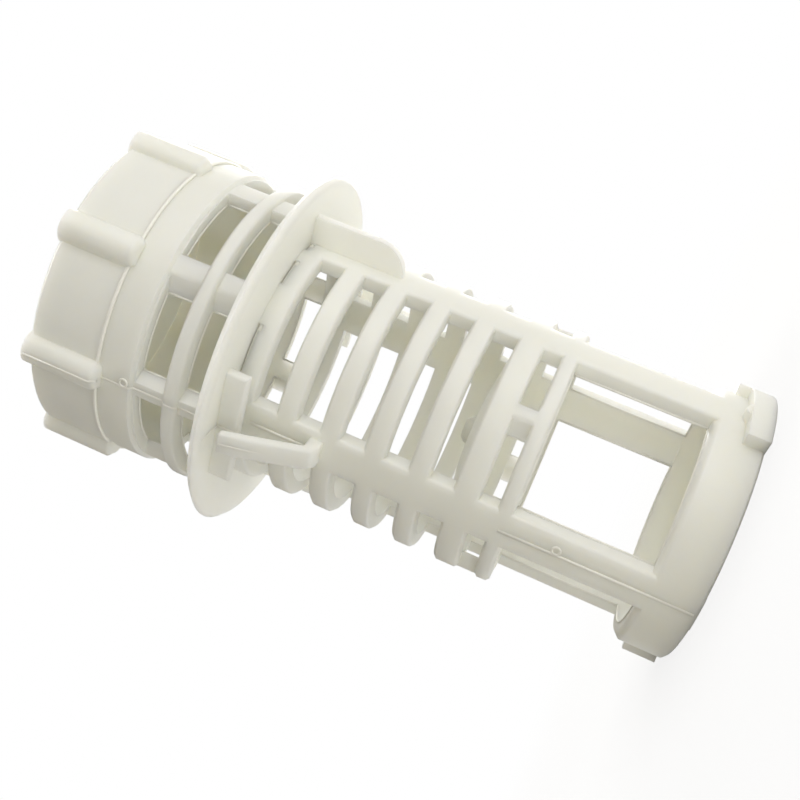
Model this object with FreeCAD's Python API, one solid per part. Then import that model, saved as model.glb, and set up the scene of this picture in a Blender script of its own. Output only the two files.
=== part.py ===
import FreeCAD, Part
import math
import os

os.makedirs("parts", exist_ok=True)

# Drain filter body of a dishwasher, moulded in one piece of polypropylene.
# Millimetres. The axis is Z, the grip cap is at the top and the small end stands on z = 0.
# Places along the axis are depths below the cap's top, down to the full length at the foot.
# The two mould halves part in the plane x = 0 and open along X.

length = 117.5

# Grip cap and slotted head
cap_r = 28.6
cap_depth = 12.8
cap_wall = 2.3
band_r = 28.2
band_bottom = 19.0
band_step = 0.4
head_r = 27.5
head_wall = 2.2
top_wall = 2.2
cap_edge = 0.8
row_tops = (19.75, 27.95)
row_bottoms = (25.2, 33.2)
head_ring_r = 28.35
head_ring_edge = 0.6
side_post_width = 4.9
slant_post_top = 17.2
slant_post_foot = 20.05
seam_post_land = 1.3
seam_post_root = 2.7

# Half-round grip lugs on the cap
lug_count = 8
lug_radius = 2.95
lug_reach = 2.15
lug_end = 13.9
lug_edge = 1.0

# Flange that covers the sump opening
flange_r = 33.4
flange_top = 33.2
flange_thick = 2.1
flange_edge = 0.95

# Slotted barrel
barrel_r = 23.5
barrel_wall = 2.7
bar_width = 7.4
bar_edge = 0.45
bar_inset = 0.05
first_slot = 39.1
slot_pitch = 7.92
slot_height = 4.2
slot_count = 5
rib_edge = 0.55
wide_rib_height = 4.5
low_slot_height = 3.2
last_rib_height = 2.75
end_ring_top = 108.6
end_ring_edge = 1.1
foot_edge = 0.5
crossbar_foot = 16.35
crossbar_width = 1.9
crossbar_inset = 0.4
root_slit = 0.5
slit_spans = ((19.7, 40.4), (59.8, 73.4), (82.0, 87.6))
notch_width = 1.1
notch_height = 1.0

# Domed partition across the barrel
dome_top = 72.9
dome_sag = 2.1
dome_thick = 1.6
dome_flat_r = 9.0
nib_height = 2.0
nib_radius = 2.6
nib_edge = 0.9

# Springy snap fingers on the parting plane, free at the end below the flange
finger_width = 4.2
finger_gap = 2.0
finger_end_reach = 8.4
finger_bend_reach = 7.4
finger_foot_reach = 3.1
finger_tip_length = 4.2
finger_arm_length = 10.9
finger_foot_height = 2.3
finger_end_thick = 1.5
finger_foot_bevel = 0.9
finger_tip_bevel = 0.4
finger_edge = 0.5

# Short straight walls that stand on the flange behind the fingers
key_gap = 2.4
key_wall = 1.7
key_width = 21.2
key_height = 3.8
key_edge = 0.5

# Plain guide fins on the other two bars
guide_reach = 5.0
guide_thick = 1.5
guide_height = 17.2
guide_round = 5.0

# Bayonet lugs on the foot of the barrel, which tighten as the body turns against their stops
bayonet_start_angle = 72.0
bayonet_sweep_angle = 41.0
bayonet_height = 3.8
bayonet_cam_r = 24.5
bayonet_cam_offset = 1.8
bayonet_cam_angle = 54.0
stop_height = 5.95
stop_sweep_angle = 4.2
stop_reach = 1.9
detent_angle = 87.5
detent_r = 1.7
detent_rise = 0.9

flange_bottom = flange_top + flange_thick
barrel_in = barrel_r - barrel_wall
head_in = head_r - head_wall
finger_end_r = barrel_r + finger_end_reach
finger_bend_r = barrel_r + finger_bend_reach
finger_foot_r = barrel_r + finger_foot_reach
finger_tip = flange_bottom + finger_gap
finger_bend_depth = finger_tip + finger_tip_length
finger_foot = finger_bend_depth + finger_arm_length
guide_r = barrel_r + guide_reach
guide_foot = flange_bottom + guide_height
key_in = barrel_r + key_gap
key_out = key_in + key_wall
rib_height = slot_pitch - slot_height
wide_rib_top = first_slot + slot_pitch * (slot_count - 1) + slot_height
low_slot_top = wide_rib_top + wide_rib_height
overlap = 0.5
axis = FreeCAD.Vector(0, 0, 1)
centre = FreeCAD.Vector(0, 0, 0)


def level(depth):
    """Height above the foot of a depth below the cap's top."""
    return length - depth


def revolve(points):
    """Solid of revolution from (radius, depth) points."""
    corners = [FreeCAD.Vector(r, 0, level(d)) for r, d in points]
    face = Part.Face(Part.makePolygon(corners + corners[:1]))
    return face.revolve(centre, axis, 360)


def eased(r, depth, ease, side):
    """Two points that break a corner; side is 1 at a ring's top edge and -1 at its bottom edge."""
    corner = [(r - ease, depth), (r, depth + side * ease)]
    return corner if side > 0 else corner[::-1]


def ring(r_in, r_out, top, bottom):
    return revolve([(r_in, top), (r_out, top), (r_out, bottom), (r_in, bottom)])


def eased_ring(r_in, r_out, top, bottom, ease):
    """Ring with both outer edges broken."""
    outline = [(r_in, top)] + eased(r_out, top, ease, 1) + eased(r_out, bottom, ease, -1)
    return revolve(outline + [(r_in, bottom)])


def sector(r_in, r_out, start, stop, top, bottom):
    """Piece of a ring between two angles, measured from -Y towards +X."""
    reach = r_out * 2
    spread = math.radians(stop - start)
    corners = [centre]
    for share in (0.0, 0.5, 1.0):
        angle = math.radians(start - 90) + spread * share
        corners.append(FreeCAD.Vector(reach * math.cos(angle), reach * math.sin(angle), 0))
    wedge = Part.Face(Part.makePolygon(corners + [centre])).extrude(axis * length * 2)
    return ring(r_in, r_out, top, bottom).common(wedge)


def turned(shape, angle):
    copy = shape.copy()
    copy.rotate(centre, axis, angle)
    return copy


def outward_at(angle):
    """Unit vector square to the axis, at an angle measured from -Y towards +X."""
    turn = math.radians(angle - 90)
    return FreeCAD.Vector(math.cos(turn), math.sin(turn), 0)


def mirrored(shape):
    """The shape, and its mirror images in both planes of symmetry."""
    pair = [shape, shape.mirror(centre, FreeCAD.Vector(1, 0, 0))]
    return pair + [s.mirror(centre, FreeCAD.Vector(0, 1, 0)) for s in pair]


def edges_where(shape, test):
    return [edge for edge in shape.Edges if test(edge.BoundBox)]


def cap_and_head():
    head_bottom = flange_top + overlap
    outline = [(0, 0)] + eased(cap_r, 0, cap_edge, 1)
    outline += [(cap_r, cap_depth), (band_r, cap_depth + band_step), (band_r, band_bottom)]
    outline += [(head_r, band_bottom + band_step), (head_r, head_bottom), (head_in, head_bottom)]
    outline += [(head_in, cap_depth), (cap_r - cap_wall, cap_depth - cap_wall)]
    outline += [(cap_r - cap_wall, top_wall), (0, top_wall)]
    return revolve(outline)


def head_ring():
    return eased_ring(head_in, head_ring_r, row_bottoms[0], row_tops[1], head_ring_edge)


def head_windows():
    """Windows cut by the side cores, so that their ends run along X, the way the mould opens."""
    reach = cap_r + overlap
    deep = head_in / 3
    lean = (seam_post_root - seam_post_land) / head_wall
    near_root = seam_post_land + lean * (head_r - slant_post_foot)
    outlines = [
        [(deep, -slant_post_top), (reach, -slant_post_top), (reach, -side_post_width / 2),
         (deep, -side_post_width / 2)],
        [(seam_post_land - lean * (reach - head_r), -reach), (reach, -reach),
         (reach, -slant_post_foot), (near_root, -slant_post_foot)],
    ]
    cuts = []
    for top, bottom in zip(row_tops, row_bottoms):
        for outline in outlines:
            corners = [FreeCAD.Vector(x, y, level(bottom)) for x, y in outline]
            opening = Part.Face(Part.makePolygon(corners + corners[:1]))
            cuts += mirrored(opening.extrude(axis * (bottom - top)))
    return cuts


def grip_lugs():
    """Half-round lugs along the cap, each with a broken lower end."""
    middle = FreeCAD.Vector(cap_r + lug_reach - lug_radius, 0, level(lug_end))
    lug = Part.makeCylinder(lug_radius, lug_end, middle)
    low = edges_where(lug, lambda b: b.ZMax < level(lug_end) + 1e-3)
    lug = lug.makeChamfer(lug_edge, low)
    lug = lug.cut(Part.makeCylinder(cap_r - cap_wall / 2, length))
    return [turned(lug, 360 / lug_count * i) for i in range(lug_count)]


def flange():
    return eased_ring(barrel_in, flange_r, flange_top, flange_bottom, flange_edge)


def ribs():
    """Rings between the slots, with broken edges."""
    rings = [ring(barrel_in, barrel_r, flange_bottom - overlap, first_slot - rib_edge)]
    rings.append(eased_ring(barrel_in, barrel_r, first_slot - rib_height, first_slot, rib_edge))
    for i in range(slot_count - 1):
        top = first_slot + slot_height + slot_pitch * i
        rings.append(eased_ring(barrel_in, barrel_r, top, top + rib_height, rib_edge))
    rings.append(eased_ring(barrel_in, barrel_r, wide_rib_top, low_slot_top, rib_edge))
    top = low_slot_top + low_slot_height
    rings.append(eased_ring(barrel_in, barrel_r, top, top + last_rib_height, rib_edge))
    return rings


def end_ring():
    outline = [(barrel_in, end_ring_top)] + eased(barrel_r, end_ring_top, end_ring_edge, 1)
    outline += eased(barrel_r, length, foot_edge, -1)
    return revolve(outline + [(barrel_in, length)])


def bars():
    """Four bars along the barrel, a hair thinner than its rings, with broken outer corners."""
    tall = level(flange_bottom - overlap)
    tube = Part.makeCylinder(barrel_r - bar_inset, tall)
    tube = tube.cut(Part.makeCylinder(barrel_in + bar_inset, tall))
    near = FreeCAD.Vector(barrel_in - overlap, -bar_width / 2, 0)
    bar = tube.common(Part.makeBox(2 * barrel_wall, bar_width, tall, near))
    outside = (barrel_in + barrel_r) / 2
    corners = edges_where(bar, lambda b: b.ZLength > tall / 2 and b.XMin > outside)
    bar = bar.makeChamfer(bar_edge, corners)
    return [turned(bar, 90 * i) for i in range(4)]


def crossbars():
    """Short bars across the low slots, with their sides along X."""
    top = low_slot_top - rib_edge
    bottom = low_slot_top + low_slot_height + rib_edge
    wall = ring(barrel_in + bar_inset, barrel_r - crossbar_inset, top, bottom)
    near = FreeCAD.Vector(0, -crossbar_foot, level(bottom))
    return mirrored(wall.common(Part.makeBox(barrel_r, crossbar_width, bottom - top, near)))


def root_slits():
    """Narrow slits between the flange and the first rib, each with a notch at one end."""
    cuts = []
    notch = math.degrees(notch_width / barrel_r)
    for start, stop in slit_spans:
        for begin, height in ((start, root_slit), (stop - notch, notch_height)):
            foot = flange_bottom + height
            piece = sector(barrel_in - overlap, barrel_r + overlap, begin, stop, flange_bottom, foot)
            cuts += mirrored(piece)
    return cuts


def partition():
    """Shallow dome across the barrel, with the stub of its gate on top."""
    top = [(0, dome_top), (dome_flat_r, dome_top), (barrel_in + overlap, dome_top + dome_sag)]
    under = [(r, depth + dome_thick) for r, depth in reversed(top)]
    root = level(dome_top + dome_thick / 2)
    tip = level(dome_top - nib_height)
    nib = Part.makeCylinder(nib_radius, tip - root, FreeCAD.Vector(0, 0, root))
    nib = nib.makeChamfer(nib_edge, edges_where(nib, lambda b: b.ZMin > tip - 1e-3))
    return [revolve(top + under), nib]


def plate(points, thick):
    """Flat plate in the plane of the axis, from (radius, depth) points, on +X."""
    corners = [FreeCAD.Vector(r, -thick / 2, level(d)) for r, d in points]
    return Part.Face(Part.makePolygon(corners + corners[:1])).extrude(FreeCAD.Vector(0, thick, 0))


def fingers():
    """Springy arms that rise from a foot on the bar and end free, one plate's gap below the flange."""
    root = barrel_r - overlap
    heel = finger_foot - finger_foot_height
    slope = (finger_bend_r - finger_foot_r) / finger_arm_length
    thick = finger_foot_height * 0.87
    arm = plate([
        (finger_end_r - finger_tip_bevel, finger_tip),
        (finger_end_r, finger_tip + finger_tip_bevel),
        (finger_bend_r, finger_bend_depth),
        (finger_foot_r + slope * finger_foot_bevel, finger_foot - finger_foot_bevel),
        (finger_foot_r - finger_foot_bevel, finger_foot),
        (root, finger_foot),
        (root, heel),
        (finger_foot_r + slope * finger_foot_height - thick, heel),
        (finger_bend_r - thick, finger_bend_depth),
        (finger_end_r - finger_end_thick, finger_tip),
    ], finger_width)
    sides = edges_where(arm, lambda b: b.YLength < 1e-3 and b.XMin > barrel_r + 0.1)
    arm = arm.makeChamfer(finger_edge, sides)
    return [turned(arm, -90), turned(arm, 90)]


def guide_fins():
    """Plain fins under the flange, square to the fingers, with a round foot."""
    root = barrel_r - overlap
    top = flange_bottom - overlap
    fin = plate([(root, top), (guide_r, top), (guide_r, guide_foot), (root, guide_foot)], guide_thick)
    low = level(guide_foot) + 1e-3
    corner = edges_where(fin, lambda b: b.YLength > 1 and b.XMin > guide_r - 1e-3 and b.ZMax < low)
    fin = fin.makeFillet(guide_round, corner)
    return [fin, turned(fin, 180)]


def keys():
    """Straight walls that stand under the flange, across the parting plane."""
    foot = level(flange_bottom + key_height)
    near = FreeCAD.Vector(key_in, -key_width / 2, foot)
    wall = Part.makeBox(key_wall, key_width, key_height + overlap, near)
    outer = edges_where(wall, lambda b: b.XMin > key_out - 1e-3 and b.ZMin < foot + 1e-3)
    wall = wall.makeChamfer(key_edge, outer)
    return [turned(wall, -90), turned(wall, 90)]


def bayonet_lugs():
    """Two cam lugs with a detent bump on top and a stop at the far end."""
    stop_start = bayonet_start_angle + bayonet_sweep_angle
    top = length - bayonet_height
    root = barrel_r - 2 * overlap
    wide = sector(root, barrel_r * 2, bayonet_start_angle, stop_start, top, length)
    lean = outward_at(bayonet_cam_angle) * bayonet_cam_offset
    lug = wide.common(Part.makeCylinder(bayonet_cam_r, length, lean))
    stop_end = stop_start + stop_sweep_angle
    stop_top = length - stop_height
    stop = sector(root, barrel_r + stop_reach, stop_start - 0.5, stop_end, stop_top, length)
    outward = outward_at(detent_angle)
    bump_start = outward * root + axis * level(top - detent_rise + detent_r)
    bump = Part.makeCylinder(detent_r, barrel_r + stop_reach - root, bump_start, outward)
    lug = lug.multiFuse([stop, bump])
    return [lug, turned(lug, 180)]


def filter_body():
    added = [head_ring(), flange(), end_ring()] + grip_lugs() + ribs() + bars() + crossbars()
    added += fingers() + guide_fins() + keys() + partition() + bayonet_lugs()
    solid = cap_and_head().multiFuse(added)
    solid = solid.cut(Part.makeCompound(head_windows() + root_slits()))
    return solid.removeSplitter()


body = filter_body()
print("solids", len(body.Solids), "valid", body.isValid(), "volume", round(body.Volume, 1))
body.exportStep("parts/filter_body.step")
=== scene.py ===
"""White polypropylene filter body, standing on its small end under soft studio light."""

import math

import bpy
from mathutils import Matrix, Vector

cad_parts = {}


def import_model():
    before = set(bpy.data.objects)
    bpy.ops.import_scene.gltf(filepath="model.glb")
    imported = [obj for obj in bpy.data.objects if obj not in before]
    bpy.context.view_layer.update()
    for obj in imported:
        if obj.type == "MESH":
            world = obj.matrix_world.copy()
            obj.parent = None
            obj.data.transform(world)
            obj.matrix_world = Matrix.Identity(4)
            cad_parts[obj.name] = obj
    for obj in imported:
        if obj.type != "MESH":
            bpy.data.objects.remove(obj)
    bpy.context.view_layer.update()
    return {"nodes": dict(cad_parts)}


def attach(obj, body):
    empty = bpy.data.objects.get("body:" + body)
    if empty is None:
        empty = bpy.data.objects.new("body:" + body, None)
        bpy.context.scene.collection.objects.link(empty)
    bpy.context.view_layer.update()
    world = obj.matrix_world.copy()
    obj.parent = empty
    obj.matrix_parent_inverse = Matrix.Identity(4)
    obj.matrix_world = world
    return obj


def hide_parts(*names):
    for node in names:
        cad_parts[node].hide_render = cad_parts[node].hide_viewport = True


# Millimetres, as in the part: depths are counted down from the cap's top.
LENGTH = 117.5
LUG_CREST_R = 30.75
CAP_R = 28.6
BAND_R = 28.2
HEAD_R = 27.5
HEAD_RING_R = 28.35
BARREL_R = 23.5
HEAD_IN = 25.3
BARREL_IN = 20.85
FLANGE_FACES = (33.2, 35.3)
KEY_R = 27.6
WINDOW_ROWS = ((19.75, 25.2), (27.95, 33.2))
LOW_SLOT = (79.48, 82.68)
BIG_WINDOW = (85.43, 108.6)

# Degrees from -Y towards +X, in the quarter that is mirrored to the others.
HEAD_WINDOWS = ((6.13, 37.58), (47.17, 84.44))
BAR_EDGES = (10.25, 79.75)
CROSSBAR = 38.2

# Beads are half sunk into the skin. The seam's is wider and lower than the flash's.
FLASH_BEAD = 0.2
LOW_SLOT_BEAD = 0.1
SEAM_BEAD = 0.25
SEAM_SINK = 0.13
BAR_SEAM_SINK = 0.06
FLANGE_SEAM_BEAD = 0.22
BEAD_SIDES = 8
MERGE = 0.000002

# Metres and watts for the studio, and the direction from the body to each lamp.
LAMP_DISTANCE = 0.9
LAMP_WIDTH = 0.7
BODY_CENTRE = (0.0, 0.0, 0.06)
LAMPS = {
    "key_softbox": ((1.351, -0.351, 0.227), 3.8),
    "side_softbox": ((0.797, 0.4665, 0.3834), 0.8),
    "back_softbox": ((-0.155, 1.051, 0.348), 6.0),
}
FILL_STRENGTH = 0.245

# The camera's place, and its right, up and back directions as columns, fitted to the photograph.
CAMERA_PLACE = (0.10787, -0.15933, 0.02895)
CAMERA_TURN = (
    (0.2407, 0.7971, 0.5537),
    (0.3367, 0.4665, -0.8179),
    (-0.9103, 0.3834, -0.1561),
)


def at(radius, depth, angle):
    """A point of the body in metres, from its radius, depth, and angle from -Y towards +X."""
    turn = math.radians(angle - 90)
    return Vector((radius * math.cos(turn), radius * math.sin(turn), LENGTH - depth)) / 1000


def linear(hex_colour):
    """An sRGB hex colour as linear red, green, blue and alpha."""
    channels = [int(hex_colour[i : i + 2], 16) / 255 for i in (1, 3, 5)]
    return [c / 12.92 if c <= 0.04045 else ((c + 0.055) / 1.055) ** 2.4 for c in channels] + [1.0]


def add_node(material, kind, settings=None, inputs=None, links=None):
    """Adds a node, sets its properties and sockets, and links its inputs."""
    tree = material.node_tree
    node = tree.nodes.new(kind)
    for name, value in (settings or {}).items():
        setattr(node, name, value)
    for name, value in (inputs or {}).items():
        node.inputs[name].default_value = value
    for name, (source, output) in (links or {}).items():
        tree.links.new(source.outputs[output], node.inputs[name])
    return node


def new_material(name):
    """A material with an empty node tree."""
    material = bpy.data.materials.new(name)
    material.use_nodes = True
    material.node_tree.nodes.clear()
    return material


def moulded_polypropylene(name, dark, light, turn, soak):
    """Injection-moulded white polypropylene: a slightly warm, faintly cloudy white with a dull
    satin skin, light that soaks through its thin walls, and the mould's faint waves and grain.

    turn is the width over which the light turns at an edge, and soak is the share that soaks in."""
    material = new_material(name)
    place = add_node(material, "ShaderNodeTexCoord")
    # Clouds of thicker and thinner pigment, about 30 mm across.
    cloud = add_node(
        material,
        "ShaderNodeTexNoise",
        inputs={"Scale": 1 / 0.030, "Detail": 3.0, "Roughness": 0.55},
        links={"Vector": (place, "Object")},
    )
    tint = add_node(
        material,
        "ShaderNodeMix",
        settings={"data_type": "RGBA"},
        links={"Factor": (cloud, "Fac")},
    )
    tint.inputs["A"].default_value = linear(dark)
    tint.inputs["B"].default_value = linear(light)
    # Gloss that comes and goes where the mould was worn, in patches of about 9 mm.
    patch = add_node(
        material,
        "ShaderNodeTexNoise",
        inputs={"Scale": 1 / 0.009, "Detail": 2.0, "Roughness": 0.5},
        links={"Vector": (place, "Object")},
    )
    gloss = add_node(
        material,
        "ShaderNodeMapRange",
        inputs={"From Min": 0.3, "From Max": 0.7, "To Min": 0.36, "To Max": 0.48},
        links={"Value": (patch, "Fac")},
    )
    # Moulded edges are never sharp: the light turns over this width at each of them.
    soft_edge = add_node(
        material,
        "ShaderNodeBevel",
        settings={"samples": 4},
        inputs={"Radius": turn},
    )
    # The skin's fine grain, really about 0.1 mm, is drawn at 0.35 mm so that it shows.
    grain = add_node(
        material,
        "ShaderNodeTexNoise",
        inputs={"Scale": 1 / 0.00035, "Detail": 2.0, "Roughness": 0.5},
        links={"Vector": (place, "Object")},
    )
    fine = add_node(
        material,
        "ShaderNodeBump",
        inputs={"Strength": 0.12, "Distance": 0.00004},
        links={"Height": (grain, "Fac"), "Normal": (soft_edge, "Normal")},
    )
    # Slow sink and shrink waves of a thin wall, about 12 mm long.
    wave = add_node(
        material,
        "ShaderNodeTexNoise",
        inputs={"Scale": 1 / 0.012, "Detail": 1.0, "Roughness": 0.4},
        links={"Vector": (place, "Object")},
    )
    sink = add_node(
        material,
        "ShaderNodeBump",
        inputs={"Strength": 0.35, "Distance": 0.0003},
        links={"Height": (wave, "Fac"), "Normal": (fine, "Normal")},
    )
    plastic = add_node(
        material,
        "ShaderNodeBsdfPrincipled",
        inputs={
            "IOR": 1.49,
            "Metallic": 0.0,
            "Subsurface Weight": soak,
            "Subsurface Radius": (0.0036, 0.0034, 0.0030),
            "Subsurface Scale": 1.0,
        },
        links={
            "Base Color": (tint, "Result"),
            "Roughness": (gloss, "Result"),
            "Normal": (sink, "Normal"),
        },
    )
    add_node(material, "ShaderNodeOutputMaterial", links={"Surface": (plastic, "BSDF")})
    return material


def white_paper():
    """Matt white studio paper: plain white to the camera, with a pale shadow round the body."""
    material = new_material("matt_studio_paper")
    place = add_node(material, "ShaderNodeTexCoord")
    distance = add_node(
        material,
        "ShaderNodeVectorMath",
        settings={"operation": "LENGTH"},
        links={0: (place, "Object")},
    )
    # The shadow is kept inside 0.1 m and has faded out at 0.25 m.
    glow_share = add_node(
        material,
        "ShaderNodeMapRange",
        settings={"interpolation_type": "SMOOTHSTEP"},
        inputs={"From Min": 0.10, "From Max": 0.25, "To Min": 0.82, "To Max": 1.0},
        links={"Value": (distance, "Value")},
    )
    ray = add_node(material, "ShaderNodeLightPath")
    seen = add_node(
        material,
        "ShaderNodeMath",
        settings={"operation": "MAXIMUM"},
        links={0: (ray, "Is Camera Ray"), 1: (ray, "Is Glossy Ray")},
    )
    share = add_node(
        material,
        "ShaderNodeMath",
        settings={"operation": "MULTIPLY"},
        links={0: (seen, "Value"), 1: (glow_share, "Result")},
    )
    paper = add_node(material, "ShaderNodeBsdfDiffuse", inputs={"Color": linear("#F4F4F2")})
    glow = add_node(
        material,
        "ShaderNodeEmission",
        inputs={"Color": (1.0, 1.0, 1.0, 1.0), "Strength": 1.0},
    )
    mix = add_node(
        material,
        "ShaderNodeMixShader",
        links={0: (share, "Value"), 1: (paper, "BSDF"), 2: (glow, "Emission")},
    )
    add_node(material, "ShaderNodeOutputMaterial", links={"Surface": (mix, "Shader")})
    return material


def merged_copy(node, name):
    """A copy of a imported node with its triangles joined, for a smooth skin."""
    bpy.ops.object.select_all(action="DESELECT")
    node.select_set(True)
    bpy.context.view_layer.objects.active = node
    bpy.ops.object.duplicate(linked=False)
    copy = bpy.context.view_layer.objects.active
    copy.name = name
    copy.data.name = name
    for key in [k for k in copy.keys() if k.startswith("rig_")]:
        del copy[key]
    bpy.ops.object.mode_set(mode="EDIT")
    bpy.ops.mesh.select_all(action="SELECT")
    bpy.ops.mesh.remove_doubles(threshold=0.000004)
    bpy.ops.mesh.dissolve_limited(angle_limit=math.radians(0.5))
    bpy.ops.mesh.customdata_custom_splitnormals_clear()
    bpy.ops.object.mode_set(mode="OBJECT")
    bpy.ops.object.shade_smooth_by_angle(angle=math.radians(50))
    # The broken edges carry the whole turn of the light, so that they look round.
    weighted = copy.modifiers.new("weighted", "WEIGHTED_NORMAL")
    weighted.mode = "FACE_AREA"
    weighted.weight = 80
    weighted.keep_sharp = True
    bpy.ops.object.modifier_apply(modifier=weighted.name)
    return copy


def disc(centre, radius, facing, stretch=1.0):
    """A small eight-sided disc, left in edit mode, from which a bead is drawn."""
    bpy.ops.object.select_all(action="DESELECT")
    bpy.ops.mesh.primitive_circle_add(
        vertices=BEAD_SIDES,
        radius=radius / 1000,
        fill_type="NGON",
        location=centre,
        rotation=facing.to_track_quat("Z", "Y").to_euler(),
    )
    bpy.ops.object.mode_set(mode="EDIT")
    bpy.ops.transform.resize(value=(1.0, 1.0, stretch), center_override=centre)


def closed():
    """Ends the drawing of a bead: joins its ends, turns its faces outwards and sets its place."""
    bpy.ops.mesh.select_all(action="SELECT")
    bpy.ops.mesh.remove_doubles(threshold=MERGE)
    bpy.ops.mesh.normals_make_consistent(inside=False)
    bpy.ops.object.mode_set(mode="OBJECT")
    bpy.ops.object.transform_apply(location=True, rotation=True, scale=True)
    return bpy.context.view_layer.objects.active


def drawn_bead(points, radius=FLASH_BEAD, facing=Vector((0.0, 0.0, 1.0))):
    """A thin bead: a disc drawn out from point to point."""
    disc(points[0], radius, facing)
    for here, there in zip(points, points[1:]):
        bpy.ops.mesh.extrude_region_move(TRANSFORM_OT_translate={"value": there - here})
    return closed()


def spun_round(middle, axis, steps):
    """Spins only the disc's rim right round, so that no wall is left inside the ring."""
    bpy.ops.mesh.delete(type="ONLY_FACE")
    bpy.ops.mesh.select_all(action="SELECT")
    bpy.ops.mesh.spin(steps=steps, angle=math.tau, center=middle, axis=axis)
    return closed()


def hoop(radius, depth, thick, stretch=1.0):
    """A thin bead that runs all round the body."""
    disc(at(radius, depth, 0), thick, Vector((1.0, 0.0, 0.0)), stretch)
    return spun_round((0, 0, 0), (0, 0, 1), 96)


def ring_bead(radius, depth, start, stop):
    """A thin bead round the axis, from one angle to another."""
    turn = math.radians(start)
    disc(at(radius, depth, start), FLASH_BEAD, Vector((math.cos(turn), math.sin(turn), 0.0)))
    sweep = math.radians(stop - start)
    steps = max(4, round((stop - start) / 4))
    # A positive angle here runs the other way round from the part's angles.
    bpy.ops.mesh.spin(steps=steps, angle=-sweep, center=(0, 0, 0), axis=(0, 0, 1))
    return closed()


def round_mark(radius, depth, angle):
    """The raised ring that a flow pin leaves: a disc spun round the line out of the surface."""
    outward = at(1, LENGTH, angle).normalized()
    middle = at(radius, depth, angle)
    ring_radius = 0.0007
    disc(middle + Vector((0.0, 0.0, ring_radius)), 0.2, outward.cross(Vector((0.0, 0.0, 1.0))))
    return spun_round(middle, outward, 16)


def one_piece(name, parts, mirror_axes, material):
    """Joins the parts, and mirrors them in the body's planes of symmetry."""
    bpy.ops.object.select_all(action="DESELECT")
    for part in parts:
        part.select_set(True)
    bpy.context.view_layer.objects.active = parts[0]
    bpy.ops.object.join()
    piece = bpy.context.view_layer.objects.active
    piece.name = name
    piece.data.name = name
    if any(mirror_axes):
        mirror = piece.modifiers.new("mirror", "MIRROR")
        mirror.use_axis = mirror_axes
        mirror.use_mirror_merge = False
        bpy.ops.object.modifier_apply(modifier=mirror.name)
    bpy.ops.object.shade_smooth()
    piece.data.materials.clear()
    piece.data.materials.append(material)
    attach(piece, "root")
    return piece


def parting_seam(material):
    """The thin raised line where the mould halves met, down both sides of the body."""
    flange_top, flange_foot = FLANGE_FACES
    runs = [
        # The crest of the grip lug and its slanted end.
        [(LUG_CREST_R, 0.45), (LUG_CREST_R, 12.9), (LUG_CREST_R - 1.0, 13.9)],
        # The band, and the seam post down to the ring between the window rows.
        [(BAND_R, 13.6), (BAND_R, 19.0), (HEAD_R, 19.4), (HEAD_R, 25.3)],
        [
            (HEAD_R + 0.25, 25.2),
            (HEAD_RING_R, 25.8),
            (HEAD_RING_R, 27.35),
            (HEAD_R + 0.25, 27.95),
        ],
        [(HEAD_R, 27.9), (HEAD_R, 33.25)],
        # The key under the flange.
        [(KEY_R, 35.25), (KEY_R, 38.6), (KEY_R - 0.5, 39.1)],
        # The snap finger's outer face.
        [(31.53, 37.4), (31.85, 37.85), (30.88, 41.5), (26.7, 51.3)],
    ]
    beads = []
    for run in runs:
        points = [at(radius - SEAM_SINK, depth, 0) for radius, depth in run]
        beads.append(drawn_bead(points, SEAM_BEAD))
    # Down the barrel's bar, above the finger's foot and beside the big windows.
    for top, bottom in ((39.2, 50.2), (84.0, 116.9)):
        points = [at(BARREL_R - BAR_SEAM_SINK, depth, 0) for depth in (top, bottom)]
        beads.append(drawn_bead(points, SEAM_BEAD))
    # Across the flange's two faces.
    outward = at(1, LENGTH, 0)
    for start, depth in ((27.4, flange_top + 0.1), (27.5, flange_foot - 0.1)):
        points = [at(start, depth, 0), at(32.5, depth, 0)]
        beads.append(drawn_bead(points, FLANGE_SEAM_BEAD, outward))
    return one_piece("parting_seam", beads, (False, True, False), material)


def window_flash(material):
    """The thin flash that is left round the windows' inner edges."""
    beads = []
    for top, bottom in WINDOW_ROWS:
        for start, stop in HEAD_WINDOWS:
            beads.append(ring_bead(HEAD_IN, top, start, stop))
            for angle in (start, stop):
                beads.append(drawn_bead([at(HEAD_IN, top, angle), at(HEAD_IN, bottom, angle)]))
    for depth in BIG_WINDOW:
        beads.append(ring_bead(BARREL_IN, depth, *BAR_EDGES))
    top, bottom = BIG_WINDOW
    for angle in BAR_EDGES:
        beads.append(drawn_bead([at(BARREL_IN, top, angle), at(BARREL_IN, bottom, angle)]))
    top, bottom = LOW_SLOT
    for angle in (BAR_EDGES[0], CROSSBAR, BAR_EDGES[1]):
        points = [at(BARREL_IN, top, angle), at(BARREL_IN, bottom, angle)]
        beads.append(drawn_bead(points, LOW_SLOT_BEAD))
    return one_piece("window_flash", beads, (True, True, False), material)


def cap_lip(material):
    """The thin lip that the mould leaves all round the cap's lower edge."""
    lip = hoop(CAP_R - 0.18, 12.95, 0.3)
    return one_piece("cap_lip", [lip], (False, False, False), material)


def slit_web(material):
    """The thin web that closes the slits at the fingers' roots from inside."""
    web = hoop(22.25, 35.85, 1.15, 0.5)
    return one_piece("slit_web", [web], (False, False, False), material)


def flow_marks(material):
    """Two small round marks beside the parting seam, on the band and on the barrel's bar."""
    rings = [round_mark(BAND_R + 0.05, 18.0, 1.5), round_mark(BARREL_R, 93.7, 2.1)]
    return one_piece("flow_marks", rings, (False, False, False), material)


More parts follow.
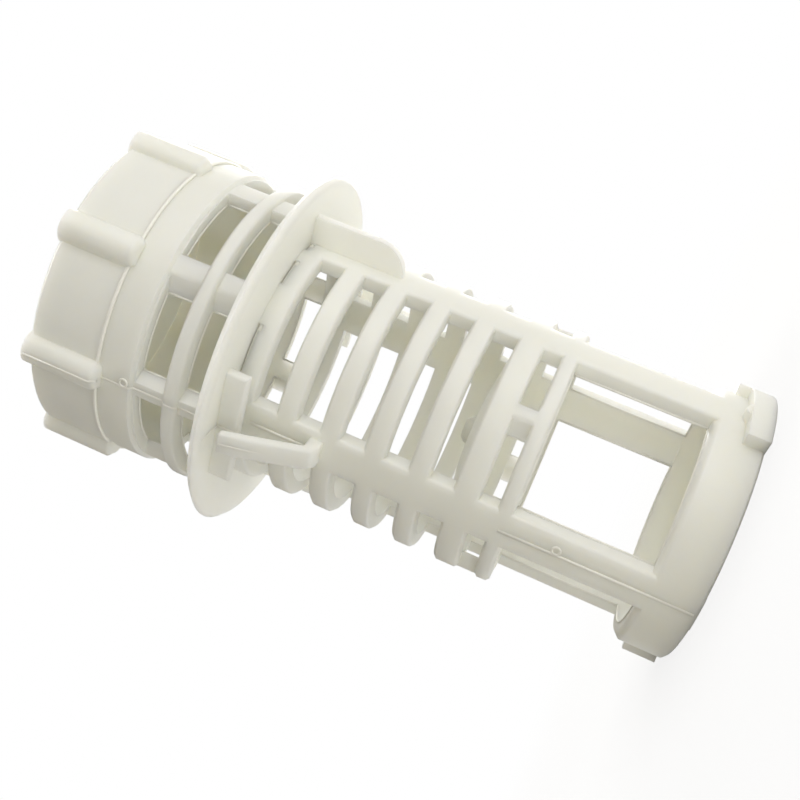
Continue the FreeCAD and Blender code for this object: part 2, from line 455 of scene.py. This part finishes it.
def studio_world():
    """Even, slightly warm light from all round, seen by the camera as plain white."""
    world = bpy.data.worlds.new("studio")
    bpy.context.scene.world = world
    world.use_nodes = True
    world.node_tree.nodes.clear()
    ray = add_node(world, "ShaderNodeLightPath")
    seen = add_node(
        world,
        "ShaderNodeMath",
        settings={"operation": "MAXIMUM"},
        links={0: (ray, "Is Camera Ray"), 1: (ray, "Is Transmission Ray")},
    )
    fill = add_node(
        world,
        "ShaderNodeBackground",
        inputs={"Color": linear("#FFF6E8"), "Strength": FILL_STRENGTH},
    )
    white = add_node(
        world,
        "ShaderNodeBackground",
        inputs={"Color": (1.0, 1.0, 1.0, 1.0), "Strength": 1.0},
    )
    mix = add_node(
        world,
        "ShaderNodeMixShader",
        links={0: (seen, "Value"), 1: (fill, "Background"), 2: (white, "Background")},
    )
    add_node(world, "ShaderNodeOutputWorld", links={"Surface": (mix, "Shader")})


def soft_lamp(name, direction, distance, width, power, target, spread=180):
    """A square softbox, placed in a direction from the target and turned to face it."""
    lamp = bpy.data.lights.new(name, "AREA")
    lamp.shape = "SQUARE"
    lamp.size = width
    lamp.energy = power
    lamp.spread = math.radians(spread)
    holder = bpy.data.objects.new(name, lamp)
    bpy.context.scene.collection.objects.link(holder)
    away = Vector(direction).normalized()
    holder.location = Vector(target) + away * distance
    holder.rotation_euler = away.to_track_quat("Z", "Y").to_euler()
    return holder


def photo_camera():
    """The camera of the photograph: close, low, and turned so that the body lies across."""
    camera = bpy.data.cameras.new("camera")
    camera.sensor_width = 36.0
    camera.lens = 48.25
    camera.clip_start = 0.01
    holder = bpy.data.objects.new("camera", camera)
    bpy.context.scene.collection.objects.link(holder)
    holder.location = CAMERA_PLACE
    holder.rotation_euler = Matrix(CAMERA_TURN).to_euler()
    bpy.context.scene.camera = holder
    return holder


def floor_sheet():
    """A wide sheet of paper under the body."""
    bpy.ops.mesh.primitive_plane_add(size=6.0, location=(0.0, 0.0, 0.0))
    sheet = bpy.context.view_layer.objects.active
    sheet.name = "floor"
    sheet.data.materials.append(white_paper())


def main():
    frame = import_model()
    body = merged_copy(frame["nodes"]["filter_body"], "filter_body_skin")
    plastic = moulded_polypropylene(
        "injection_moulded_polypropylene", "#EFEFE6", "#F4F4EC", turn=0.00028, soak=0.85
    )
    # Painted highlight: this lighter colour makes the thin flash, seams, lip, web and marks read
    # bright. The flash is too thin for light to spread inside it.
    flash = moulded_polypropylene(
        "thin_flash_painted_highlight", "#F8F7EE", "#FBFAF2", turn=0.00001, soak=0.0
    )
    body.data.materials.clear()
    body.data.materials.append(plastic)
    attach(body, "root")
    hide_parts("filter_body")
    parting_seam(flash)
    window_flash(flash)
    cap_lip(flash)
    slit_web(flash)
    flow_marks(flash)

    floor_sheet()
    studio_world()
    for name, (direction, power) in LAMPS.items():
        soft_lamp(name, direction, LAMP_DISTANCE, LAMP_WIDTH, power, BODY_CENTRE)
    # The paper under the body throws this lamp's light up into the slots.
    soft_lamp("floor_softbox", (0.0, 0.0, 1.0), 1.2, 0.5, 0.9, (0.0, 0.0, 0.0), 60)
    photo_camera()

    bpy.context.scene.view_settings.view_transform = "Standard"


main()
